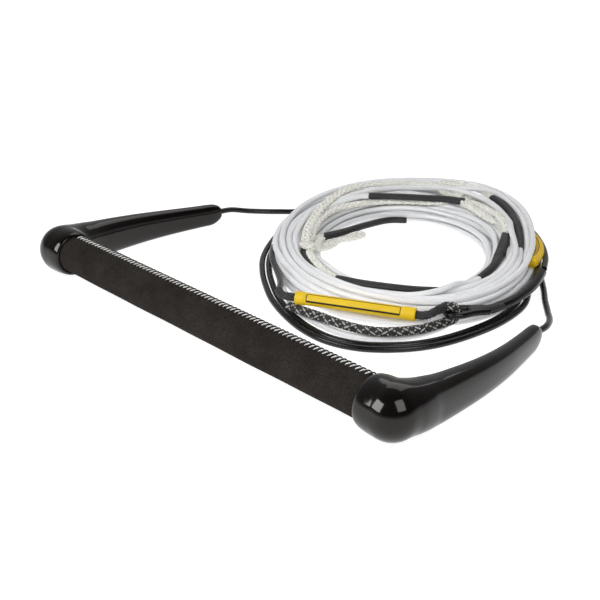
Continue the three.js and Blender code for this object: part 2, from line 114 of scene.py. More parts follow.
class Shader(NodeTree):
    """A Principled material with a few procedural nodes in object space."""

    def __init__(self, name, color, roughness, metallic=0.0):
        self.material = bpy.data.materials.new(name)
        self.material.use_nodes = True
        self.material.diffuse_color = (*color, 1)
        super().__init__(self.material.node_tree)
        self.bsdf = self.nodes["Principled BSDF"]
        self.set("Base Color", (*color, 1))
        self.set("Roughness", roughness)
        self.set("Metallic", metallic)
        self.place = self.node("ShaderNodeTexCoord").outputs["Object"]

    def set(self, socket, value):
        self.bsdf.inputs[socket].default_value = value

    def texture(self, kind, output, **values):
        node = self.node(kind)
        for socket, value in values.items():
            node.inputs[socket].default_value = value
        self.links.new(self.place, node.inputs["Vector"])
        return node.outputs[output]

    def noise(self, scale, detail=3.0, roughness=0.55):
        return self.texture("ShaderNodeTexNoise", "Fac", Scale=scale, Detail=detail, Roughness=roughness)

    def cells(self, scale):
        return self.texture("ShaderNodeTexVoronoi", "Distance", Scale=scale)

    def link(self, value, socket):
        self.links.new(value, self.bsdf.inputs[socket])

    def bump(self, height, distance, strength=1.0):
        node = self.node("ShaderNodeBump")
        node.inputs["Distance"].default_value = distance
        node.inputs["Strength"].default_value = strength
        self.links.new(height, node.inputs["Height"])
        previous = self.bsdf.inputs["Normal"].links
        if previous:
            self.links.new(previous[0].from_socket, node.inputs["Normal"])
        self.links.new(node.outputs["Normal"], self.bsdf.inputs["Normal"])


def grained(name, color, roughness, spread=0.12, scale=900, bump=0.00004, shade=0.12, specular=0.5,
            metallic=0.0):
    """A plain moulded or coated surface: small changes of tone, gloss and height."""
    shader = Shader(name, color, roughness, metallic)
    shader.set("Specular IOR Level", specular)
    tone = shader.noise(60, 4)
    dark = tuple(c * (1 - shade) for c in color)
    light = tuple(min(1, c * (1 + shade)) for c in color)
    shader.link(shader.ramp(tone, [(0.3, dark), (0.7, light)]), "Base Color")
    low, high = max(0.02, roughness - spread / 2), min(1, roughness + spread / 2)
    shader.link(shader.ramp(shader.noise(220, 3), [(0.3, low), (0.7, high)]), "Roughness")
    shader.bump(shader.noise(scale, 2), bump)
    return shader


def cap_plastic():
    shader = grained("cap_plastic", (0.0036, 0.0030, 0.0028), 0.1, 0.06, 420, 0.00002, 0.2, 0.34)
    shader.set("Specular Tint", (1, 0.96, 0.93, 1))
    return shader.material


def suede():
    """Short nap with a fine grain, brushed patches and a few pale fibres."""
    shader = Shader("suede", (0.032, 0.027, 0.0235), 0.95)
    shader.set("Specular IOR Level", 0.05)
    brushed = shader.ramp(shader.noise(45, 4), [(0.35, (0.026, 0.0215, 0.0185)),
                                                (0.65, (0.039, 0.033, 0.029))])
    grain = shader.ramp(shader.noise(1500, 3, 0.7), [(0.38, 0.35), (0.62, 1.0)])
    tone = shader.mix(1.0, brushed, grain, "MULTIPLY")
    fibres = shader.ramp(shader.cells(420), [(0.0, 1.0), (0.07, 0.0)])
    rare = shader.ramp(shader.noise(150, 2), [(0.62, 0.0), (0.72, 0.5)])
    specks = shader.mix(1.0, fibres, rare, "MULTIPLY")
    shader.link(shader.mix(specks, tone, (0.14, 0.125, 0.11)), "Base Color")
    shader.bump(shader.noise(1500, 3, 0.7), 0.0003, 1.0)
    shader.bump(shader.noise(260, 2), 0.0002, 0.6)
    return shader.material


def shrunk_rubber():
    """Matte shrunk tube with faint ribs and scuffs."""
    shader = grained("shrink", (0.0185, 0.018, 0.0182), 0.55, 0.2, 900, 0.00012, 0.25, 0.4)
    shader.bump(shader.noise(180, 3), 0.00025, 0.6)
    return shader.material


def yellow_print():
    """Yellow tube; the ink attribute draws its printed outline."""
    shader = grained("yellow", (0.80, 0.53, 0.006), 0.5, 0.1, 300, 0.00004, 0.05, 0.3)
    plain = shader.bsdf.inputs["Base Color"].links[0].from_socket
    ink = shader.node("ShaderNodeAttribute", attribute_name="ink").outputs["Fac"]
    shader.link(shader.mix(ink, plain, (0.012, 0.011, 0.01)), "Base Color")
    return shader.material


# Colour, roughness, and as needed the gloss's spread, grain's size and height, shade, specular, metal.
PLAIN_MATERIALS = {
    "white_rope": ((0.835, 0.84, 0.855), 0.42, 0.1, 500, 0.00006, 0.03),
    "bridle_rope": ((0.006, 0.0055, 0.0055), 0.26, 0.14, 700, 0.00008, 0.3, 0.36),
    "junction_rubber": ((0.0045, 0.0042, 0.0042), 0.2, 0.1, 500, 0.00006, 0.3, 0.24),
    "foam": ((0.05, 0.05, 0.052), 0.9),
    "float": ((0.75, 0.72, 0.62), 0.85, 0.1, 1800, 0.0002),
    "aluminium": ((0.7, 0.71, 0.73), 0.32, 0.16, 1200, 0.00003, 0.12, 0.5, 1.0),
    "plug": ((0.02, 0.02, 0.022), 0.5),
    "cream_braid": ((0.87, 0.865, 0.80), 0.7, 0.1, 2500, 0.0002, 0.06),
    "braid_black": ((0.02, 0.02, 0.021), 0.55, 0.1, 2500, 0.0002, 0.3),
    "braid_white": ((0.5, 0.49, 0.46), 0.65, 0.1, 2500, 0.0002, 0.1),
    "thread_white": ((0.7, 0.69, 0.65), 0.6, 0.1, 2500, 0.0001, 0.1),
    "thread_black": ((0.012, 0.012, 0.013), 0.6, 0.1, 2500, 0.0001, 0.2),
}
MATERIALS = {name: grained(name, *values).material for name, values in PLAIN_MATERIALS.items()}
MATERIALS.update({"cap": cap_plastic(), "suede": suede(), "shrink": shrunk_rubber(),
                  "yellow": yellow_print()})

# ---- curves and tubes


def smooth_path(points, spacing):
    """A centripetal Catmull-Rom curve through the points, about spacing apart."""
    p = np.asarray(points, float)
    first, last = 2 * p[0] - p[1], 2 * p[-1] - p[-2]
    p = np.vstack([first, p, last])
    out = []
    for i in range(1, len(p) - 2):
        a, b, c, d = p[i - 1:i + 3]
        knots = np.cumsum([0] + [max(1e-6, np.linalg.norm(v)) ** 0.5 for v in (b - a, c - b, d - c)])
        count = max(1, int(round(np.linalg.norm(c - b) / spacing)))
        t = (knots[1] + (knots[2] - knots[1]) * np.arange(count) / count)[:, None]

        def step(p0, p1, k0, k1):
            return ((k1 - t) * p0 + (t - k0) * p1) / (k1 - k0)

        ab, bc, cd = (step(q0, q1, knots[k], knots[k + 1])
                      for k, (q0, q1) in enumerate(((a, b), (b, c), (c, d))))
        abc, bcd = step(ab, bc, knots[0], knots[2]), step(bc, cd, knots[1], knots[3])
        out.append(step(abc, bcd, knots[1], knots[2]))
    return np.vstack([*out, p[-2:-1]])


def run_along(path):
    """The distance from the path's start at each of its points."""
    return np.concatenate([[0], np.cumsum(np.linalg.norm(np.diff(path, axis=0), axis=1))])


def circle(sides):
    """Angles evenly round a full turn."""
    return np.linspace(0, 2 * math.pi, sides, endpoint=False)


def add_object(name, data):
    piece = bpy.data.objects.new(name, data)
    bpy.context.scene.collection.objects.link(piece)
    return piece


def rope(name, path, diameter, material):
    """A round rope along a path in millimetres, as a curve with one open spline."""
    data = bpy.data.curves.new(name, "CURVE")
    data.dimensions = "3D"
    data.bevel_depth = diameter / 2 * MM
    data.bevel_resolution = 4
    data.use_fill_caps = True
    data.twist_mode = "MINIMUM"
    spline = data.splines.new("POLY")
    spline.points.add(len(path) - 1)
    flat = np.hstack([path * MM, np.ones((len(path), 1))])
    spline.points.foreach_set("co", flat.ravel())
    spline.use_smooth = True
    data.materials.append(MATERIALS[material])
    return add_object(name, data)


def fitted(piece, slot, *nodes, body=BODY):
    """A piece that rides on a body and stands for CAD nodes."""
    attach(piece, body)
    if nodes:
        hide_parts(*nodes)
    return piece


def declare_cord(piece, route, diameter, slot, node, **facts):
    fitted(piece, slot, node)


def free_cord(name, path, diameter, slot, node, **facts):
    declare_cord(rope(name, path, diameter, slot), path, diameter, slot, node, **facts)


STEEP = 0.25  # how level a path has to be to set its own sideways vector


def frames(path):
    """Unit vectors sideways and upward at every point of a path."""
    along = np.gradient(path, axis=0)
    along /= np.linalg.norm(along, axis=1)[:, None]
    side = np.cross(along, (0, 0, 1.0))
    for k in range(len(side)):
        if np.linalg.norm(side[k]) < STEEP and k:
            side[k] = side[k - 1] - along[k] * np.dot(side[k - 1], along[k])
        elif k and np.dot(side[k], side[k - 1]) < 0:
            side[k] *= -1
        side[k] /= np.linalg.norm(side[k])
    return side, np.cross(side, along)


def new_mesh(name, points, faces):
    mesh = bpy.data.meshes.new(name)
    mesh.from_pydata([tuple(p) for p in np.asarray(points, float) * MM], [], faces)
    return mesh


def mesh_piece(name, points, faces, *materials):
    mesh = new_mesh(name, points, faces)
    mesh.polygons.foreach_set("use_smooth", [True] * len(mesh.polygons))
    for material in materials:
        mesh.materials.append(MATERIALS[material])
    return add_object(name, mesh)


def ring_faces(rings, sides, first=0):
    """Faces of a tube of rings of vertices, closed at both ends."""
    faces = []
    for k in range(rings - 1):
        for j in range(sides):
            a, b = first + k * sides + j, first + k * sides + (j + 1) % sides
            faces.append((a, b, b + sides, a + sides))
    faces.append(tuple(first + j for j in reversed(range(sides))))
    faces.append(tuple(first + (rings - 1) * sides + j for j in range(sides)))
    return faces


def sleeve(name, path, profile, material, sides=28):
    """A tube along a path; the profile holds [share of its length, half width, half height]."""
    side, up = frames(path)
    run = run_along(path)
    share, wide, high = np.asarray(profile, float).T
    wide, high = (np.interp(run / run[-1], share, v)[:, None, None] for v in (wide, high))
    turn = circle(sides)[None, :, None]
    points = (path[:, None] + side[:, None] * wide * np.cos(turn) + up[:, None] * high * np.sin(turn))
    return mesh_piece(name, points.reshape(-1, 3), ring_faces(len(path), sides), material)


YARN_SIDES = 6
YARN_THICKNESS = 0.13  # half of it, as a share of the braid's size
YARN_INSET = 1.25  # half thicknesses from the braid's outside to the yarn's middle
YARN_LIFT = 0.75  # half thicknesses over and under the crossing yarns
YARN_FILL = 0.52  # a yarn's half width, of its share of the way round


def braid(name, path, size, materials, yarns, pale=()):
    """A hollow braid along a path: half its yarns wind each way, over and under each other.

    The size is its width, height and pitch. The yarns listed in pale take the second material."""
    width, height, pitch = size
    side, up = frames(path)
    run = run_along(path)
    each = yarns // 2
    thick = YARN_THICKNESS * (width + height) / 2
    a, b = width / 2 - YARN_INSET * thick, height / 2 - YARN_INSET * thick
    around = math.pi * (a + b)
    wide = YARN_FILL * around / each * math.cos(math.atan(around / pitch))
    turn = circle(YARN_SIDES)[None, :, None]
    points, faces, slots = [], [], []
    for i in range(yarns):
        way = 1 if i % 2 == 0 else -1
        phi = 2 * math.pi * (i // 2) / each + way * 2 * math.pi * run / pitch
        lift = way * YARN_LIFT * thick * np.cos(2 * math.pi * each * run / pitch)
        out = (np.cos(phi) / a)[:, None] * side + (np.sin(phi) / b)[:, None] * up
        out /= np.linalg.norm(out, axis=1)[:, None]
        centre = path + side * (a * np.cos(phi))[:, None] + up * (b * np.sin(phi))[:, None]
        centre += out * lift[:, None]
        across_yarn = np.cross(np.gradient(centre, axis=0), out)
        across_yarn /= np.linalg.norm(across_yarn, axis=1)[:, None]
        ring = (centre[:, None] + across_yarn[:, None] * wide * np.cos(turn)
                + out[:, None] * thick * np.sin(turn))
        faces += ring_faces(len(path), YARN_SIDES, i * len(path) * YARN_SIDES)
        slots += [1 if i in pale else 0] * (len(faces) - len(slots))
        points.append(ring.reshape(-1, 3))
    piece = mesh_piece(name, np.vstack(points), faces, *materials)
    piece.data.polygons.foreach_set("material_index", slots)
    return piece


def braided_cord(name, path, size, diameter, slot, node, yarns, pale=()):
    """A two-colour braid that is a free cord."""
    piece = braid(name, path, size, ("braid_black", "braid_white"), yarns, pale)
    declare_cord(piece, path, diameter, slot, node, path=[tuple(p) for p in path * MM])


# ---- cord routes
COIL_X, COIL_Y = 5.3, 144.0
COIL_TURN = math.radians(45.3)
COIL_STRETCH = 1.2
BRIDLE = 5.0
WHITE = 5.0
BRAID = 6.8
FLOOR_ROPE = 2.8
WHITE_FLOOR = 2.8


def from_coil(rows):
    """[angle in degrees round the coil, radius, height] to millimetre points."""
    a, radius, z = np.asarray(rows, float).T
    u, v = radius * np.cos(np.radians(a)), COIL_STRETCH * radius * np.sin(np.radians(a))
    return np.stack([COIL_X + u * math.cos(COIL_TURN) - v * math.sin(COIL_TURN),
                     COIL_Y + u * math.sin(COIL_TURN) + v * math.cos(COIL_TURN), z], 1)


def to_coil(points):
    """Millimetre points to unwrapped [angle in degrees, radius, height]."""
    points = np.asarray(points, float)
    x, y = points[:, 0] - COIL_X, points[:, 1] - COIL_Y
    u = x * math.cos(COIL_TURN) + y * math.sin(COIL_TURN)
    v = (y * math.cos(COIL_TURN) - x * math.sin(COIL_TURN)) / COIL_STRETCH
    return np.stack([np.degrees(np.unwrap(np.arctan2(v, u))), np.hypot(u, v), points[:, 2]], 1)


def arc(start, end, radius, z, step=12):
    count = max(2, round(abs(end - start) / step))
    return [[start + (end - start) * i / count, radius, z] for i in range(count + 1)]


PAIR_ROUTE = [[-77, 62], [-54, 39.5], [-31, 22], [-7, 7], [23, -5.5], [46, -11], [68, -11],
              [90, -2.5], [110, 16], [123, 37.5], [131.5, 68], [134.5, 104], [129, 138]]
PAIR_HALF_GAP = 2.9


def strand(side):
    """One strand of the pair round the front; +1 is the outer one."""
    middle = np.array(PAIR_ROUTE, float)
    padded = np.vstack([middle[:1], middle, middle[-1:]])
    along = padded[2:] - padded[:-2]
    along /= np.linalg.norm(along, axis=1)[:, None]
    moved = middle + side * PAIR_HALF_GAP * np.stack([along[:, 1], -along[:, 0]], 1)
    return np.hstack([moved, np.full((len(moved), 1), FLOOR_ROPE)])


LEFT_TIP = [[-172.7, 93.2, 10.4], [-171.4, 104, 9.4], [-165.8, 120, 5.6], [-157, 135, 3.4],
            [-147, 147, 2.8], [-140, 154, 2.8], [-135.4, 162.6, 2.8]]
LEFT_BEHIND = [
    [128, 125, 2.8], [116, 125, 2.8], [104, 125.5, 2.8], [92, 126.5, 2.8], [82, 128, 2.8],
    [73, 131, 2.8], [65, 133.8, 2.8], [58, 134, 2.8], [53.4, 130.5, 2.8], [52, 125, 2.8],
    [54.6, 119.5, 2.8], [60, 116.5, 2.8], [68, 116, 2.8]]
LEFT_TURN = [
    [-26, 106.5, 2.8], [-14, 103.5, 2.8], [0, 102, 2.8], [14, 101, 2.8], [25, 100, 3.3],
    [34, 100.5, 5], [39.5, 104, 8], [41.8, 109.5, 10.3], [40.8, 115.5, 12], [36, 119.8, 13.4],
    [28, 119.5, 14.3], [15, 118, 14.5], [0, 117, 14.5], [-12, 116.8, 14.3], [-22, 116.3, 13.9]]
RIGHT_TIP = [[172.7, 93.2, 10.4], [171.8, 104, 9.6], [165.6, 119.5, 7], [153.5, 136.5, 4.2],
             [140, 154, 3.1], [127, 172, 2.8]]
RIGHT_TURN = [
    [-30, 101.5, 2.8], [-16, 97.5, 2.8], [0, 95.5, 2.8], [9, 94.5, 3.4], [17, 94.3, 5.4],
    [23, 96.5, 8.6], [26.2, 101.3, 9.9], [26.4, 106.5, 10.1], [22.5, 110.8, 9.9],
    [15, 112.6, 9.5], [5, 112.6, 9.3], [-8, 112.3, 9.2], [-22, 111.8, 9.3]]
JUNCTION_ROUTE = [[-22.6, 114.2, 11.7], [-36, 114.5, 11.8], [-50, 115.2, 12.4], [-63, 116.4, 13]]
EYE_ROUTE = [[127.8, 92, 13.8], [121.8, 83.5, 14.6], [114.2, 73.4, 15.2], [111.2, 66.4, 15.2],
             [115, 62, 15.2], [120.6, 62.4, 15.2], [124.4, 66.6, 15.2], [128, 78, 14.8],
             [132.8, 89.4, 13.6]]
LOOP_FRONT_ROUTE = [
    [16.5, -2.2, 9.5], [30, -0.8, 9.4], [44, 1.2, 9.4], [62, 3, 9.4], [80, 7.2, 9.4],
    [93, 14.5, 9.4], [103, 25.5, 9.4], [110, 38, 9.1], [113.2, 50, 8.8], [115.6, 60.5, 8.8],
    [118.1, 67, 10.6], [118.9, 69.4, 15.2], [117.7, 66.2, 20], [115.2, 60, 21.7]]
SLEEVE_START = np.array([23.0, -1.0, 18.0])
SLEEVE_END = np.array([104.0, 40.0, 18.0])
STRAIGHT_BEYOND = 5.5
LOOP_BACK_END = [[114.8, 58.8, 21.7], [114, 52.5, 21], [112.2, 46.6, 19.2]]
LOOP_BACK_START = [[12.6, -4.6, 17.8], [7.5, -3, 17.2], [2.6, 0.8, 16.6]]
LEADER_ROUTE = [[1.8, 1.6, 16.4], [-7, 11.5, 15.4], [-20, 22.5, 13.8], [-35, 33.5, 12.6],
                [-50, 44, 11.8], [-64, 56, 11], [-75, 68, 10.5]]
LOOSE_TURN = [[-44, 45], [-26, 31], [-6, 17.5], [12, 8.5], [30, 3], [48, 1], [64, 1.5],
              [80, 6.5], [93, 16], [103, 30], [109, 45], [111.5, 60], [111, 76]]


def loop_back_points():
    along = SLEEVE_END - SLEEVE_START
    beyond = STRAIGHT_BEYOND / np.linalg.norm(along)
    straight = [SLEEVE_START + along * s for s in (1 + beyond, 1, 0.75, 0.5, 0.25, 0, -beyond)]
    return np.vstack([LOOP_BACK_END, straight, LOOP_BACK_START])


ROUTES = {
    "bridle_left": smooth_path(np.vstack([
        LEFT_TIP, from_coil(LEFT_BEHIND + arc(78, 162, 116, FLOOR_ROPE)), strand(1),
        from_coil(LEFT_TURN)]), 3),
    "bridle_right": smooth_path(np.vstack([
        RIGHT_TIP, from_coil([[-12, 112, FLOOR_ROPE]] + arc(0, 164, 109.4, FLOOR_ROPE)), strand(-1),
        from_coil(RIGHT_TURN)]), 3),
    "junction": smooth_path(from_coil(JUNCTION_ROUTE), 2),
    "bridle_eye": smooth_path(EYE_ROUTE, 1.5),
    "loop_front": smooth_path(LOOP_FRONT_ROUTE, 0.7),
    "loop_back": smooth_path(loop_back_points(), 2),
    "leader": smooth_path(LEADER_ROUTE, 3),
    "loose_turn": smooth_path([[x, y, WHITE_FLOOR] for x, y in LOOSE_TURN], 4),
}

# ---- splices of the rope on the coil
# Rows of [angle round the coil, radius, height]. A shrunk sleeve runs from its thin end on the
# rope to its thick end on the eye, and an eye from its splice round its tip and back.
SHRINKS = {
    "main_rope_shrink": [[222, 93, 16], [210, 90.5, 16.4], [200, 88, 16.9], [190, 85, 17.4]],
    "section_1_shrink_main": [
        [-12, 96, 18.8], [1, 98, 20.8], [13, 102, 22.8], [23, 107.5, 24.5], [31, 111.5, 25.6],
        [38, 113, 26]],
    "section_1_shrink": [
        [107, 82, 24.2], [95, 77, 24.6], [86, 75, 24.9], [76, 75.8, 24.8], [66, 80, 24.3],
        [56, 87, 23.6], [47, 93.5, 22.8]],
    "section_2_shrink_first": [
        [-52, 83, 17], [-33, 80, 16.8], [-19, 79.5, 17.4], [-6, 83.5, 19.2], [4, 89, 20.4]],
    "section_2_shrink": [
        [283, 86, 17], [270, 82.5, 17.2], [255, 81.5, 17.5], [240, 84.5, 17.6], [228, 89.5, 17.4]],
    "section_3_shrink_first": [
        [81, 70.5, 4.2], [94, 70, 4.2], [117, 63, 5.2], [132, 61.5, 6.2], [146, 63.5, 7.6],
        [156, 68, 9], [163, 73, 10.2]],
}
EYES = {
    "main_rope_eye": [
        [193, 86, 17.8], [185, 83.5, 18.6], [176, 82.5, 19.6], [166, 82.5, 20.8], [150, 84.5, 22.4],
        [134, 90, 24.2], [121, 96, 26], [110, 100, 26.9], [98, 101, 27.3], [84, 101, 27.4],
        [72, 102, 27.4], [62, 104, 27], [55, 103, 26.2], [52, 98.5, 25], [54, 92.5, 22.6],
        [60, 87, 20], [70, 82.5, 18.8], [84, 80, 18.6], [100, 79.5, 18.6], [116, 80.5, 18.8],
        [132, 82, 19], [148, 81.5, 18.8], [164, 79.5, 18], [176, 80, 17], [185, 82.5, 16.6],
        [193, 85.5, 16.8]],
    "section_1_eye_main": [
        [36, 112.5, 26], [42, 117, 26.4], [50, 117.5, 27.4], [58, 113, 28.8], [64, 107, 29.2],
        [65, 100.5, 27.4], [60, 97.5, 24.6], [53, 100, 22.6], [46, 106, 23.4], [40, 110, 24.8],
        [36, 112, 25.4]],
    "section_1_eye": [
        [49, 92.5, 23], [42, 95.5, 22.9], [34, 96.5, 22.5], [26, 95.5, 22.1], [20, 92.5, 21.8],
        [19, 88.5, 21.6], [24, 86.5, 21.6], [33, 86.8, 21.9], [42, 89, 22.3], [49, 92, 22.7]],
    "section_2_eye_first": [
        [2, 88.5, 20.8], [9, 90, 24], [16, 91, 26], [23, 91.5, 26], [27.5, 91.5, 23.6],
        [28, 91.5, 20.4], [23, 91.5, 17.6], [16, 91, 17], [9, 90, 18.6], [2, 88.5, 20]],
    "section_2_eye": [
        [230, 89.5, 17.6], [218, 88, 18.2], [208, 86, 18.8], [199, 84.5, 18.9], [192, 82, 18],
        [187.5, 77, 15.6], [184, 70.5, 12.8], [179, 65, 10.6], [172, 60.5, 9], [163, 59.5, 7.8],
        [155, 56, 6.8], [148, 52, 5.8], [139, 49.8, 4.8], [131, 50, 3.9], [127.5, 53.5, 3.4],
        [133, 57, 3.3], [146, 59, 3.4], [160, 66, 4.2], [171, 71, 7], [179, 75, 10.8],
        [186, 79.5, 14.2], [195, 82, 16.2], [206, 83.5, 17], [218, 86.5, 17], [230, 89, 17]],
    "section_3_eye_first": [
        [161, 72, 10.4], [170, 77, 12.8], [178, 80.5, 15.6], [186, 84.5, 19.2], [191, 86.5, 21.6],
        [195, 83, 22.6], [192, 77.5, 20.6], [186, 74.5, 16.6], [177, 73, 12.6], [168, 72.5, 10.6],
        [161, 71.5, 9.8]],
}
SPLICES = {name: smooth_path(from_coil(rows), 1.0) for name, rows in {**SHRINKS, **EYES}.items()}

# ---- the coil's turns
SLICES = 72  # places round the coil where the turns are laid out
STEP = 360 / SLICES
MAIN_TURNS = 24
MAIN_END = 220  # angle where the main rope goes into its shrunk sleeve
LAYERS = (7, 6, 6, 5)  # turns of the main rope side by side, from the floor up
SECTIONS = {
    "section_1": [
        [-15, 96, 18.4], [-60, 99, 16.5], [-90, 101, 15.5], [-180, 102, 18], [-225, 106, 23],
        [-262, 105, 28.5], [-280, 105, 29], [-300, 115, 29.5], [-315, 127, 30], [-328, 128, 28],
        [-340, 120, 25.5], [-352, 109, 23], [-362, 103.5, 22], [-380, 102, 19], [-400, 104, 17.5],
        [-450, 101, 15.5], [-540, 97, 18], [-570, 93, 21], [-590, 87, 23], [-610, 83.5, 24]],
    "section_2": [
        [-55, 83.5, 17], [-75, 88, 16.5], [-90, 93, 16], [-130, 96, 16.5], [-180, 94, 18.5],
        [-230, 90, 23.5], [-270, 90, 27], [-296, 95, 28.4], [-311, 103, 29], [-321, 107, 28],
        [-331, 103, 26], [-341, 97, 24.4], [-351, 91, 23.8], [-360, 86, 24.6], [-370, 88, 22],
        [-390, 93, 17.5], [-450, 96, 15], [-500, 98, 15.5], [-540, 97, 18], [-630, 92, 23],
        [-720, 92, 20], [-760, 91, 17.5], [-780, 88, 17], [-795, 86.5, 17]],
    "section_3": [
        [80, 71, 4], [40, 74, 4], [0, 75, 5], [-90, 77, 7], [-180, 82, 10], [-230, 88, 16],
        [-270, 98, 24], [-300, 110, 27], [-320, 121, 27], [-335, 119, 25], [-350, 109, 21.5],
        [-362, 103, 19.5], [-385, 103, 16], [-450, 105, 14], [-520, 110, 12], [-540, 110.5, 10.6]],
}
# The coil's section at its right, back, left and front: the radius of its inner and outer edge and
# how far each leans out from the floor to the top, then its top's height and outward tilt.
INNER, INNER_LEAN = (75, 75, 76, 76), (2, 4, 3, 4)
OUTER, OUTER_LEAN = (110, 111, 109.5, 107), (-2, 7, -3, -5)
TOP, TOP_TILT = (16.5, 21.5, 16, 12), (2, 10, 1, 0)
LOWEST = 2.6  # height of the lowest turns
LEVEL_AT = 0.4  # place across where the tilt doesn't lift the top
BULGE, DENT, NOTCH = (41, 17), (86, 13), (-7, 16)  # angles and widths in degrees
BULGE_OUT, BULGE_INNER, BULGE_UP = 9, 4, 4
DENT_IN, NOTCH_IN, NOTCH_TOP_IN = 4, 3, 6
SPARE_PLACES = [(0.5, 0.95)] * 2  # where the last turns lie, above the layers
LAYER_INSET = 0.04  # how far each layer draws in from the one below
WAVE_SPACING = 9  # slices from one random value to the next
WAVE_R, WAVE_Z = 1.6, 0.8
LOOSENESS = (0, 0.3, 1, 0)  # how much more the turns stray at the four sides
MAIN_ENDING = [[93.6, 15.6], [93.2, 15.8], [92.8, 16]]  # radius and height into the shrunk sleeve
SECTION_HOLD = 0.05  # pull of a section's rope towards its own route


def wave(count):
    """Smooth noise between about -1 and 1."""
    knots = rng.uniform(-1, 1, int(count / WAVE_SPACING) + 3)
    at = np.arange(count) / WAVE_SPACING
    low = at.astype(int)
    t = eased(at - low)
    return knots[low] * (1 - t) + knots[low + 1] * t


def across(angle, table):
    """A value round the coil, eased between the four sides: right, back, left, front."""
    a = np.radians(angle)
    c, s = np.cos(a), np.sin(a)
    weights = [np.clip(v, 0, 1) ** 2 for v in (c, s, -c, -s)]
    return sum(w * v for w, v in zip(weights, table))


def place(angle, w, h):
    """Radius and height of the place w across (0 inner, 1 outer) and h up in the coil."""
    inner = across(angle, INNER) + h * across(angle, INNER_LEAN)
    outer = across(angle, OUTER) + h * across(angle, OUTER_LEAN)
    bulge, dent, notch = (np.exp(-(((angle - at + 180) % 360 - 180) / wide) ** 2)
                          for at, wide in (BULGE, DENT, NOTCH))
    inner += BULGE_INNER * h * bulge
    outer += (BULGE_OUT + BULGE_OUT * h) * bulge - DENT_IN * dent - (NOTCH_IN + NOTCH_TOP_IN * h) * notch
    top = across(angle, TOP) + across(angle, TOP_TILT) * (w - LEVEL_AT) + BULGE_UP * w * bulge
    return inner + w * (outer - inner), LOWEST + h * (top - LOWEST)


def eased(value):
    t = np.clip(value, 0, 1)
    return t * t * (3 - 2 * t)


def side_stretch():
    """How far a step in radius moves sideways, square to the turns, at each slice."""
    a = np.radians(np.arange(SLICES) * STEP)
    return COIL_STRETCH / np.sqrt((COIL_STRETCH * np.cos(a)) ** 2 + np.sin(a) ** 2)


HOME_PULL_R, HOME_PULL_Z = 0.02, 0.012  # share of the way back to its own place in each round
PULL_FADES = 0.7  # how much of that pull is gone at the end
STRAIGHTEN = 0.3
PUSH = 0.8  # share of an overlap that one push takes away
PUSHES = 3  # in each round
SETTLE_ROUNDS, SINK = 400, 0.02
FAR_AWAY = 1e4


def settled(ropes, obstacles):
    """Pushes ropes apart where they touch and lets them sink, slice by slice.

    A rope has a row of [angle, radius, height, hold] at each slice."""
    angle, r, z, hold = np.vstack(ropes).T.copy()
    counts = [len(rope) for rope in ropes]
    rope_of = np.repeat(np.arange(len(ropes)), counts)
    home_r, home_z = r.copy(), z.copy()
    slices = np.round(angle / STEP).astype(int) % SLICES
    widest = max(np.bincount(slices, minlength=SLICES)) + max(len(o) for o in obstacles)
    table = np.full((SLICES, widest), -1)
    fixed = np.zeros((SLICES, widest, 3))
    for j in range(SLICES):
        members = np.flatnonzero(slices == j)
        table[j, :len(members)] = members
        fixed[j, :, 0] = FAR_AWAY * (1 + np.arange(widest))
        for i, o in enumerate(obstacles[j]):
            fixed[j, len(members) + i] = o
    moving = table >= 0
    metric = side_stretch()
    inside = np.zeros(len(r), bool)
    inside[1:-1] = (rope_of[1:-1] == rope_of[:-2]) & (rope_of[1:-1] == rope_of[2:])
    middle = np.flatnonzero(inside)
    same = np.eye(widest, dtype=bool)[None]
    size = np.where(moving, WHITE / 2, fixed[..., 2])
    reach = size[:, :, None] + size[:, None, :]
    share = np.where(moving[:, :, None] & moving[:, None, :], 0.5, 1.0) * moving[:, :, None]
    for turn in range(SETTLE_ROUNDS):
        late = turn / SETTLE_ROUNDS
        for values, home, pull in ((r, home_r, HOME_PULL_R), (z, home_z, HOME_PULL_Z)):
            bend = values[middle - 1] + values[middle + 1] - 2 * values[middle]
            values[middle] += STRAIGHTEN * bend
            values += np.clip(pull * (1 - PULL_FADES * late) + hold, 0, 1) * (home - values)
        z -= SINK * (1 - hold)
        grid_r = np.where(moving, r[table], fixed[..., 0] / metric[:, None])
        grid_z = np.where(moving, z[table], fixed[..., 1])
        x = grid_r * metric[:, None]
        for _ in range(PUSHES):
            dx, dz = x[:, :, None] - x[:, None, :], grid_z[:, :, None] - grid_z[:, None, :]
            gap = np.sqrt(dx * dx + dz * dz) + 1e-6
            push = np.where(same, 0, np.clip(reach - gap, 0, None)) / gap * share * PUSH
            x = x + (push * dx).sum(2)
            grid_z = grid_z + (push * dz).sum(2)
            grid_z = np.where(moving, np.maximum(grid_z, size), grid_z)
        r[table[moving]] = (x / metric[:, None])[moving]
        z[table[moving]] = grid_z[moving]
    return np.split(np.stack([angle, r, z], 1), np.cumsum(counts)[:-1])


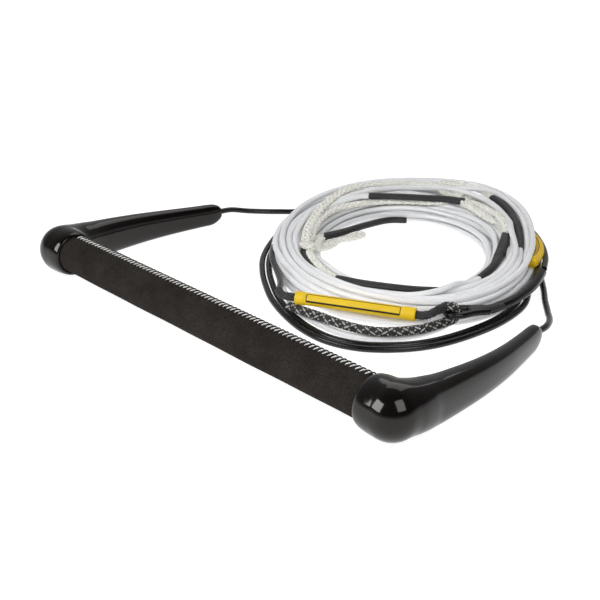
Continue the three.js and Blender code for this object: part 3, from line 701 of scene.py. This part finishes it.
def main_turns():
    sites = []
    for layer, turns in enumerate(LAYERS):
        order = np.linspace(0, 1, turns) if layer % 2 == 0 else np.linspace(1, 0, turns)
        inset = LAYER_INSET * layer
        sites += [(inset + w * (1 - 2 * inset), layer / len(LAYERS)) for w in order]
    sites = np.array(sites + SPARE_PLACES)
    total = MAIN_TURNS * SLICES + 1
    angle = MAIN_END + STEP * (MAIN_TURNS * SLICES - np.arange(total))
    turned = np.arange(total) / SLICES
    index = turned.astype(int)
    share = eased(turned - index)[:, None]
    w, h = (sites[index] * (1 - share) + sites[index + 1] * share).T
    r, z = place(angle, w, h)
    loose = 1 + 1.2 * across(angle, LOOSENESS)
    r += WAVE_R * loose * wave(total)
    z += WAVE_Z * loose * wave(total)
    hold = np.zeros(total)
    hold[-3:] = 1
    r[-3:], z[-3:] = np.transpose(MAIN_ENDING)
    return np.stack([angle, r, z, hold], 1)


def section_turns(knots):
    knots = np.array(knots, float)
    total = int(round((knots[0, 0] - knots[-1, 0]) / STEP)) + 1
    angle = knots[0, 0] - STEP * np.arange(total)
    r, z = (np.interp(-angle, -knots[:, 0], knots[:, k]) for k in (1, 2))
    hold = np.full(total, SECTION_HOLD)
    hold[:2] = hold[-2:] = 1
    return np.stack([angle, r, z, hold], 1)


def obstacles_from(routes):
    """Where each fixed cord crosses each slice: sideways place, height and radius."""
    metric = side_stretch()
    found = [[] for _ in range(SLICES)]
    for path, radius in routes:
        rows = to_coil(path)
        for (a0, r0, z0), (a1, r1, z1) in zip(rows[:-1], rows[1:]):
            low, high = sorted((a0, a1))
            for k in range(math.ceil(low / STEP), math.floor(high / STEP) + 1):
                t = (k * STEP - a0) / (a1 - a0) if a1 != a0 else 0
                j = k % SLICES
                found[j].append(((r0 + t * (r1 - r0)) * metric[j], z0 + t * (z1 - z0), radius))
    return found


REAR_SLEEVE = smooth_path(from_coil([
    [8, 115, 13], [0, 114.5, 14], [-8, 112.5, 15], [-16, 109.3, 16.2], [-22, 106.3, 17.2]]), 0.5)
REAR_SLEEVE_RADIUS = 4.4
JUNCTION_RADIUS = 5.2
SHRINK_HALF = 3.3
EYE_HALF = 2.2
COIL_ROPES = settled([main_turns(), *map(section_turns, SECTIONS.values())], obstacles_from([
    (ROUTES["bridle_left"], BRIDLE / 2), (ROUTES["bridle_right"], BRIDLE / 2),
    (ROUTES["junction"], JUNCTION_RADIUS), (ROUTES["leader"], BRIDLE / 2),
    (ROUTES["loose_turn"], WHITE / 2),
    *((SPLICES[name], SHRINK_HALF) for name in SHRINKS),
    *((SPLICES[name], EYE_HALF) for name in EYES),
    (REAR_SLEEVE, REAR_SLEEVE_RADIUS),
]))
HIDDEN_SHARE = 0.6  # of a shrunk sleeve's length that the rope goes on inside it
HIDDEN_SKIP = 4


def joined(rows, start, end):
    """A rope's path, led on into the shrunk sleeves at its ends."""

    def inside(name):
        path = SPLICES[name]
        return path[:int(len(path) * HIDDEN_SHARE)]

    parts = [smooth_path(from_coil(rows), 5)]
    if start:
        parts.insert(0, inside(start)[::-HIDDEN_SKIP])
    if end:
        parts.append(inside(end)[::HIDDEN_SKIP])
    return smooth_path(np.vstack(parts), 4)


# ---- cords
SHRINK_PROFILE = [
    (0, 2.75, 2.75), (0.03, 3.0, 2.95), (0.25, 3.2, 2.9), (0.5, 3.7, 2.9), (0.8, 4.2, 3),
    (0.96, 4.5, 3.2), (1, 4.3, 3)]
JUNCTION_PROFILE = [(0, 4.6, 4.0), (0.02, 4.9, 4.3), (0.12, 4.7, 4.1), (0.3, 4.0, 3.6),
                    (0.6, 3.8, 3.4), (0.97, 4.2, 3.4), (1, 4.0, 3.2)]
NECK_ROUTE = [[133.6, 104.5, 13.3], [131.6, 95, 13.8], [128.8, 87, 14.4], [125.6, 80.5, 14.8],
              [123.6, 77, 15]]
NECK_PROFILE = [(0, 3.8, 3.0), (0.5, 4.2, 2.9), (0.96, 5.1, 2.8), (1, 4.9, 2.6)]
EYE_SIZES = {"main_rope_eye": (8.2, 5.0, 30), "section_2_eye": (6.4, 5.0, 26)}
EYE_SIZE = (6.6, 5.4, 24)  # width, height and pitch of an eye's braid
EYE_NODES = {"main_rope_eye": ["main_rope_eye", "main_rope_eye_inner_leg"]}
FRONT_BRAID = (7.7, 6.4, 27)
FRONT_PALE_YARNS = (0, 3, 6, 11, 14, 19)
BACK_BRAID = (6.4, 6.2, 24)
BACK_CORD = 6.0


def splice_pieces(shrinks):
    """The shrunk sleeves and braided eyes on one rope."""
    pieces = []
    for name in shrinks:
        piece = sleeve(name + "_piece", SPLICES[name], SHRINK_PROFILE, "shrink")
        pieces.append(fitted(piece, "shrink", name))
    for name in (name.replace("shrink", "eye") for name in shrinks):
        size = EYE_SIZES.get(name, EYE_SIZE)
        piece = braid(name + "_piece", SPLICES[name], size, ["cream_braid"], yarns=8)
        pieces.append(fitted(piece, "cream_braid", *EYE_NODES.get(name, [name])))
    return pieces


def white_cord(index, name, node, start, end, **facts):
    """A rope of the coil with what is on it; start and end name the sleeves at its ends."""
    free_cord(name, joined(COIL_ROPES[index], start, end), WHITE, "white_rope", node,
              with_pieces=splice_pieces([shrink for shrink in (start, end) if shrink]), **facts)


junction = fitted(sleeve("junction_piece", ROUTES["junction"], JUNCTION_PROFILE, "junction_rubber"),
                  "shrink", "junction_sleeve")
neck = fitted(sleeve("junction_neck_piece", smooth_path(NECK_ROUTE, 1), NECK_PROFILE, "shrink"), "shrink")
free_cord("bridle_left_leg", ROUTES["bridle_left"], BRIDLE, "bridle_rope", "bridle_left",
          with_pieces=[junction])
free_cord("bridle_right_leg", ROUTES["bridle_right"], BRIDLE, "bridle_rope", "bridle_right")
free_cord("bridle_eye_rope", ROUTES["bridle_eye"], BRIDLE, "bridle_rope", "bridle_eye",
          with_pieces=[neck])
free_cord("leader_rope", ROUTES["leader"], BRIDLE, "bridle_rope", "leader")
free_cord("loose_turn_rope", ROUTES["loose_turn"], WHITE, "white_rope", "main_rope_loose_turn")
braided_cord("loop_front_braid", ROUTES["loop_front"], FRONT_BRAID, BRAID, "two_colour_braid",
             "loop_front", yarns=24, pale=FRONT_PALE_YARNS)
braided_cord("loop_back_braid", ROUTES["loop_back"], BACK_BRAID, BACK_CORD, "bridle_rope",
             "loop_back", yarns=16)
white_cord(0, "main_rope", "main_rope_coil", None, "main_rope_shrink", lay="coiled")
white_cord(1, "section_1_rope", "section_1_coil", "section_1_shrink_main", "section_1_shrink")
white_cord(2, "section_2_rope", "section_2_coil", "section_2_shrink_first", "section_2_shrink")
white_cord(3, "section_3_rope", "section_3_coil", "section_3_shrink_first", None)

# ---- end caps
KNOB_X = 178.0
KNOB_RADIUS = 19.6
BAR_Z = 19.0
ARM_REACH = 164.9
BAR_Y = (KNOB_RADIUS - ARM_REACH) / 2
FLOOR_CUT = -0.6
COLLAR_MOUTH = 160.4
COLLAR_RADIUS = 17.2
LIP_RADIUS = 17.7
SOCKET_RADIUS = 15.4
SOCKET_ENDS = (-4.0, 6.0)  # measured from the collar's mouth
CHANNEL = 3.5  # radius of the rope's hole in the tip
TIP_CENTRE = 10.4
# Rows along the arm: [distance from the bar axis, outward shift, top height, half width].
ARM_ROWS = [
    [0, 0, 38.6, 19.6], [5, 0.6, 38, 19], [10, 2, 36.7, 17.8], [15, 3.6, 35.4, 16],
    [20, 4.9, 34.3, 14.3], [26.5, 5.8, 33.2, 12.6], [35.3, 6.8, 31.7, 11.2], [51, 7.6, 29.9, 9.8],
    [65.5, 7.8, 28.2, 8.9], [80, 7.5, 26.5, 8.2], [96, 6.4, 24.6, 7.6], [111.5, 4.6, 22.9, 7.1],
    [128, 1.9, 21.3, 6.6], [144.5, -1.2, 19.9, 6.2], [153.5, -3, 19.3, 5.9]]
TIP_ROWS = [[159.3, -4.1, 18.3, 5.4, 1.4], [162.9, -4.8, 16.2, 4.7, 4.2], [164.6, -5.1, 13, 2.9, 8]]
TIP_X = -5.2  # how far the tip's end lies from the knob's centre
CHANNEL_X = KNOB_X + TIP_X + 0.3
CHANNEL_ENDS = (ARM_REACH - 9, ARM_REACH + 4)
KNOB_LATITUDES = range(-80, 0, 8)
CAP_SIDES = 72
CAP_SQUARENESS, SQUARED_BY = 0.5, 30.0  # how boxy the arm's section gets, and how far along
COLLAR_SIDES = 96
# Rows from the collar's mouth to the knob: [distance, radius].
COLLAR_ROWS = [[0, COLLAR_RADIUS - 0.8], [0.5, COLLAR_RADIUS], [1.2, LIP_RADIUS], [3, LIP_RADIUS + 0.6],
               [5.5, LIP_RADIUS + 1.1], [9, LIP_RADIUS + 1.5], [13, LIP_RADIUS + 1.7]]
GROUND_CORNERS = [(100, -60), (260, -60), (260, 220), (100, 220)]
CAP_VOXEL = 0.75


def cap_rings():
    """Rows of [y, x, z, half width, half height] from the knob's front to the arm's tip."""
    rows = []
    for latitude in KNOB_LATITUDES:
        a = math.radians(latitude)
        r = KNOB_RADIUS * math.cos(a)
        rows.append([KNOB_RADIUS * math.sin(a), 0, BAR_Z, r, r])
    for y, x, top, half in ARM_ROWS:
        rows.append([y, x, (top + FLOOR_CUT) / 2, half, (top - FLOOR_CUT) / 2])
    for y, x, top, half, bottom in TIP_ROWS:
        rows.append([y, x, (top + bottom) / 2, half, (top - bottom) / 2])
    return smooth_path(rows, 1.6)


def turned(profile):
    """A closed solid of revolution about X; the profile holds [x, radius]."""
    points = [(x, r * math.cos(a), BAR_Z + r * math.sin(a))
              for x, r in profile for a in circle(COLLAR_SIDES)]
    return points, ring_faces(len(profile), COLLAR_SIDES)


def raw_mesh(name, points, faces):
    mesh = new_mesh(name, points, faces)
    cleaned = bmesh.new()
    cleaned.from_mesh(mesh)
    bmesh.ops.recalc_face_normals(cleaned, faces=cleaned.faces)
    cleaned.to_mesh(mesh)
    cleaned.free()
    return add_object(name, mesh)


def apply_modifier(piece, kind, **values):
    modifier = piece.modifiers.new(kind, kind)
    for key, value in values.items():
        setattr(modifier, key, value)
    graph = bpy.context.evaluated_depsgraph_get()
    mesh = bpy.data.meshes.new_from_object(piece.evaluated_get(graph))
    piece.modifiers.clear()
    piece.data = mesh


def cap_body(name):
    """The knob and its arm, from rings that change from round to slightly boxy."""
    rings = cap_rings()
    c, s = np.cos(circle(CAP_SIDES)), np.sin(circle(CAP_SIDES))
    points = []
    for y, x, z, a, b in rings:
        power = 2 + CAP_SQUARENESS * min(1, max(0, y) / SQUARED_BY)
        out = np.sign(c) * np.abs(c) ** (2 / power) * a
        up = np.sign(s) * np.abs(s) ** (2 / power) * b
        points += list(zip(KNOB_X + x + out, np.full(CAP_SIDES, y), z + up))
    return raw_mesh(name, points, ring_faces(len(rings), CAP_SIDES))


def end_cap(name, side, node):
    """A moulded cap: a knob with its arm, joined to a lipped collar that the grip goes into."""
    body = cap_body(name)
    collar = raw_mesh("collar", *turned(
        [[COLLAR_MOUTH + x, r] for x, r in COLLAR_ROWS] + [[KNOB_X, KNOB_RADIUS - 0.1]]))
    socket = raw_mesh("socket", *turned([[COLLAR_MOUTH + x, SOCKET_RADIUS] for x in SOCKET_ENDS]))
    hole = [(CHANNEL_X + CHANNEL * math.cos(t), y, TIP_CENTRE + CHANNEL * math.sin(t))
            for y in CHANNEL_ENDS for t in circle(CAP_SIDES)]
    channel = raw_mesh("channel", hole, ring_faces(2, CAP_SIDES))
    ground = raw_mesh("ground", [(x, y, z) for z in (-8, 0) for x, y in GROUND_CORNERS], ring_faces(2, 4))
    for tool, operation in ((collar, "UNION"), (socket, "DIFFERENCE"), (channel, "DIFFERENCE"),
                            (ground, "DIFFERENCE")):
        apply_modifier(body, "BOOLEAN", object=tool, operation=operation, solver="EXACT")
        bpy.data.objects.remove(tool)
    apply_modifier(body, "REMESH", mode="VOXEL", voxel_size=CAP_VOXEL * MM, use_smooth_shade=True)
    apply_modifier(body, "SMOOTH", factor=0.5, iterations=5)
    co = np.zeros(len(body.data.vertices) * 3, np.float32)
    body.data.vertices.foreach_get("co", co)
    co = co.reshape(-1, 3) * [side, 1, 1] + [0, BAR_Y * MM, 0]
    co[:, 2] = np.maximum(co[:, 2], 0)
    body.data.vertices.foreach_set("co", co.astype(np.float32).ravel())
    if side < 0:
        body.data.flip_normals()
    body.data.polygons.foreach_set("use_smooth", [True] * len(body.data.polygons))
    body.data.materials.clear()
    body.data.materials.append(MATERIALS["cap"])
    fitted(body, "cap", node)


# ---- grip
GRIP_RADIUS = 15.0
GRIP_HALF = 163.2
SEAM_ANGLE = 68.0  # from +Y up to +Z, degrees
SEAM_HALF = 158.5  # where the stitches stop
STITCH_PITCH = 4.0
STITCH_SLANT = 3.2  # how far a stitch leans along the bar
STITCH_SIDES = 7
STRAY_ALONG, STRAY_ROUND = 0.25, 0.4  # how far stitches are off their places, mm and degrees
GRIP_AROUND, GRIP_ALONG = 160, 330
RIDGE_HEIGHT, RIDGE_WIDTH = 0.5, 3.2  # widths and places round the grip are in degrees
TROUGH_DEPTH, TROUGH_AT, TROUGH_WIDTH = 0.28, 9, 3.0
RIPPLE_HEIGHT, RIPPLE_WIDTH = 0.1, 9
SUNK = 0.12  # how far the suede lies below its nominal radius


def on_grip(x, angle, lift):
    """A point on the grip at an angle in degrees round it, lifted off the suede."""
    a = np.radians(angle)
    r = GRIP_RADIUS + np.asarray(lift, float)
    return np.stack([np.broadcast_to(x, np.shape(a)).astype(float), BAR_Y + r * np.cos(a),
                     BAR_Z + r * np.sin(a)], -1)


def grip_cover():
    """The suede sleeve: a ridge and two troughs at the seam, ripples at its stitches, slight swells."""
    x = np.linspace(-GRIP_HALF, GRIP_HALF, GRIP_ALONG)[:, None]
    angle = np.linspace(0, 360, GRIP_AROUND, endpoint=False)[None, :]
    off = (angle - SEAM_ANGLE + 180) % 360 - 180
    ridge = (RIDGE_HEIGHT * np.exp(-(off / RIDGE_WIDTH) ** 2)
             - TROUGH_DEPTH * np.exp(-((np.abs(off) - TROUGH_AT) / TROUGH_WIDTH) ** 2))
    ripple = RIPPLE_HEIGHT * np.cos(x * 2 * math.pi / STITCH_PITCH) * np.exp(-(off / RIPPLE_WIDTH) ** 2)
    swell = 0.09 * np.sin(x / 21 + 1.3 * np.sin(np.radians(angle)))
    swell = swell + 0.07 * np.sin(x / 9.3 + np.radians(2 * angle))
    visible = np.clip((SEAM_HALF + 1 - np.abs(x)) / 3, 0, 1)
    points = on_grip(x + 0 * angle, angle + 0 * x, (ridge + ripple + swell) * visible - SUNK)
    piece = mesh_piece("grip_cover_piece", points.reshape(-1, 3), ring_faces(GRIP_ALONG, GRIP_AROUND),
                       "suede")
    fitted(piece, "suede", "grip_cover")


def stitches(name, material, radius, rows, *nodes):
    """One row of slanted stitches over the seam; rows are [turn from the seam, lift, share of slant]."""
    turn = circle(STITCH_SIDES)[None, :, None]
    offset, lift, lean = np.asarray(rows, float).T
    points, faces = [], []
    for k in range(int(2 * SEAM_HALF / STITCH_PITCH)):
        x = (-SEAM_HALF + (k + 0.5) * STITCH_PITCH + rng.uniform(-STRAY_ALONG, STRAY_ALONG)
             + lean * STITCH_SLANT)
        knots = np.array([on_grip(xi, SEAM_ANGLE + oi + rng.uniform(-STRAY_ROUND, STRAY_ROUND), li)
                          for xi, oi, li in zip(x, offset, lift)])
        path = smooth_path(knots, 0.45)
        forward = np.gradient(path, axis=0)
        forward /= np.linalg.norm(forward, axis=1)[:, None]
        out = path - [0, BAR_Y, BAR_Z]
        out[:, 0] = 0
        out /= np.linalg.norm(out, axis=1)[:, None]
        sidewise = np.cross(forward, out)
        ends = np.sin(np.linspace(0.25, math.pi - 0.25, len(path))) ** 0.5
        r = (radius * ends)[:, None, None]
        ring = path[:, None] + r * (sidewise[:, None] * np.cos(turn) + out[:, None] * np.sin(turn) * 0.8)
        faces += ring_faces(len(path), STITCH_SIDES, sum(len(p) for p in points))
        points.append(ring.reshape(-1, 3))
    fitted(mesh_piece(name, np.vstack(points), faces, material), "thread", *nodes)


end_cap("end_cap_left_piece", -1, "end_cap_left")
end_cap("end_cap_right_piece", 1, "end_cap_right")
grip_cover()
stitches("stitches_white", "thread_white", 0.62, [
    [17, -0.3, -0.5], [14, 0.35, -0.38], [9, 0.7, -0.2], [4, 1.0, 0.0], [0, 1.05, 0.1]],
    "grip_seam_thread")
stitches("stitches_white_far", "thread_white", 0.36, [
    [-3, 0.9, 0.2], [-7, 0.75, 0.34], [-11, 0.35, 0.48], [-13, -0.3, 0.55]])
stitches("stitches_black", "thread_black", 0.72, [
    [14, -0.3, 0.1], [9, 0.5, 0.25], [3, 1.15, 0.42], [-3, 1.25, 0.6], [-8, 0.7, 0.75],
    [-12, -0.3, 0.85]])

# ---- yellow sleeves
# Rows of [share of the length, radius]: end bands that stand out a little from the middle.
YELLOW_PROFILE = [(0, 4.8), (0.004, 5.0), (0.075, 5.0), (0.085, 4.7), (0.9, 4.7), (0.91, 5.0),
                  (0.996, 5.0), (1, 4.8)]
REAR_PROFILE = [(0, 4.1), (0.01, 4.4), (0.1, 4.4), (0.12, 4.1), (0.88, 4.1), (0.9, 4.4), (0.99, 4.4),
                (1, 4.1)]
YELLOW_SIDES = 120
PRINT_ENDS = (0.1, 0.88)
PRINT_TOP, PRINT_LOW = 12.0, 86.0  # degrees from straight up, towards the outside of the coil
THIN_LINE, THICK_LINE = 0.36, 0.8  # half widths
LINE_EDGE = 0.15  # width of a line's soft edge
DEGREE = math.radians(1) * 4.8  # one degree round the sleeve, in millimetres


def inked(distance, half):
    """How much ink lies at a distance from a line's middle."""
    return np.clip((half - np.abs(distance)) / LINE_EDGE + 0.5, 0, 1)


def printed_sleeve(name, path, profile, node, body):
    """A yellow tube with a thin printed outline."""
    piece = sleeve(name, path, [(share, r, r) for share, r in profile], "yellow", YELLOW_SIDES)
    degrees = ((90 - np.degrees(circle(YELLOW_SIDES)) + 180) % 360 - 180)[None, :]
    s = run_along(path)[:, None]
    left, right = (s[-1] * e for e in PRINT_ENDS)
    in_x = np.clip((s - left) / LINE_EDGE, 0, 1) * np.clip((right - s) / LINE_EDGE, 0, 1)
    in_y = ((degrees >= PRINT_TOP) & (degrees <= PRINT_LOW)).astype(float)
    ink = np.maximum.reduce([
        inked((degrees - PRINT_TOP) * DEGREE, THIN_LINE) * in_x,
        inked((degrees - PRINT_LOW) * DEGREE, THICK_LINE) * in_x,
        inked(s - left, THIN_LINE) * in_y, inked(s - right, THIN_LINE) * in_y])
    attribute = piece.data.attributes.new("ink", "FLOAT", "POINT")
    attribute.data.foreach_set("value", ink.ravel().astype(np.float32))
    fitted(piece, "yellow", node, body=body)


FRONT_SLEEVE_PATH = SLEEVE_START + np.linspace(0, 1, 330)[:, None] * (SLEEVE_END - SLEEVE_START)
printed_sleeve("yellow_sleeve_front_piece", FRONT_SLEEVE_PATH, YELLOW_PROFILE, "yellow_sleeve_front",
               SLEEVE_BODY)
printed_sleeve("yellow_sleeve_rear_piece", REAR_SLEEVE, REAR_PROFILE, "yellow_sleeve_rear", BODY)

# ---- floor and light
FLOOR_HALF = 6000.0
BACKDROP = (-0.711, 0.703, 0.0)  # level direction from the camera to the object


def make_floor():
    h = FLOOR_HALF
    mesh = new_mesh("floor", [(-h, -h, 0), (h, -h, 0), (h, h, 0), (-h, h, 0)], [(0, 1, 2, 3)])
    floor = add_object("floor", mesh)
    shader = Shader("floor", (0.35, 0.35, 0.35), 0.7)
    shader.set("Emission Color", (1, 1, 1, 1))
    shader.set("Emission Strength", 0.9)
    mesh.materials.append(shader.material)


def make_world():
    """A dim studio: pale at the horizon and behind the object, dark on the camera's side."""
    world = bpy.data.worlds.new("studio")
    world.use_nodes = True
    tree = NodeTree(world.node_tree)
    direction = tree.node("ShaderNodeTexCoord").outputs["Generated"]
    split = tree.node("ShaderNodeSeparateXYZ")
    tree.links.new(direction, split.inputs["Vector"])
    toward = tree.node("ShaderNodeVectorMath", operation="DOT_PRODUCT")
    toward.inputs[1].default_value = BACKDROP
    tree.links.new(direction, toward.inputs[0])
    ramps = []
    for source, low, high, stops in (
            (split.outputs["Z"], -0.1, 0.9, [(0.0, 0.75), (0.14, 0.75), (0.26, 0.0)]),
            (toward.outputs["Value"], -1, 1, [(0.4, 0.03), (0.95, 0.5)])):
        spread = tree.node("ShaderNodeMapRange")
        spread.inputs["From Min"].default_value = low
        spread.inputs["From Max"].default_value = high
        tree.links.new(source, spread.inputs["Value"])
        ramps.append(tree.ramp(spread.outputs["Result"], stops))
    pale = tree.mix(1, *ramps, "LIGHTEN")
    tree.links.new(pale, tree.nodes["Background"].inputs["Color"])
    bpy.context.scene.world = world


def soft_box(name, place_at, target, size, radiance, diffuse=True, gloss=True):
    data = bpy.data.lights.new(name, "AREA")
    data.shape = "RECTANGLE"
    data.size, data.size_y = size
    data.energy = radiance * math.pi * size[0] * size[1]
    lamp = add_object(name, data)
    lamp.location = place_at
    lamp.rotation_euler = (Vector(target) - Vector(place_at)).to_track_quat("-Z", "Y").to_euler()
    lamp.visible_camera = False
    lamp.visible_diffuse = diffuse
    lamp.visible_glossy = gloss


make_floor()
make_world()
soft_box("box_left", (0.02, -0.5, 0.42), (0, -0.06, 0.02), (0.46, 0.5), 4.6, gloss=False)
soft_box("box_right", (0.66, -0.16, 0.48), (0.1, 0.0, 0.02), (0.36, 0.46), 4.2)
soft_box("top", (-0.25, 0.7, 1.0), (0, 0.1, 0), (1.0, 0.8), 1.6)
soft_box("window", (-0.55, -1.7, 0.98), (0, -0.07, 0.02), (1.25, 1.15), 10.0, diffuse=False)
bpy.context.scene.view_settings.view_transform = "Standard"

for name, node in frame["nodes"].items():
    wanted = next(s["material_slot"] for s in frame["record"]["subparts"] if s["node"] == name)
    node.data.materials.clear()
    node.data.materials.append(MATERIALS.get(wanted, MATERIALS["braid_white"]))
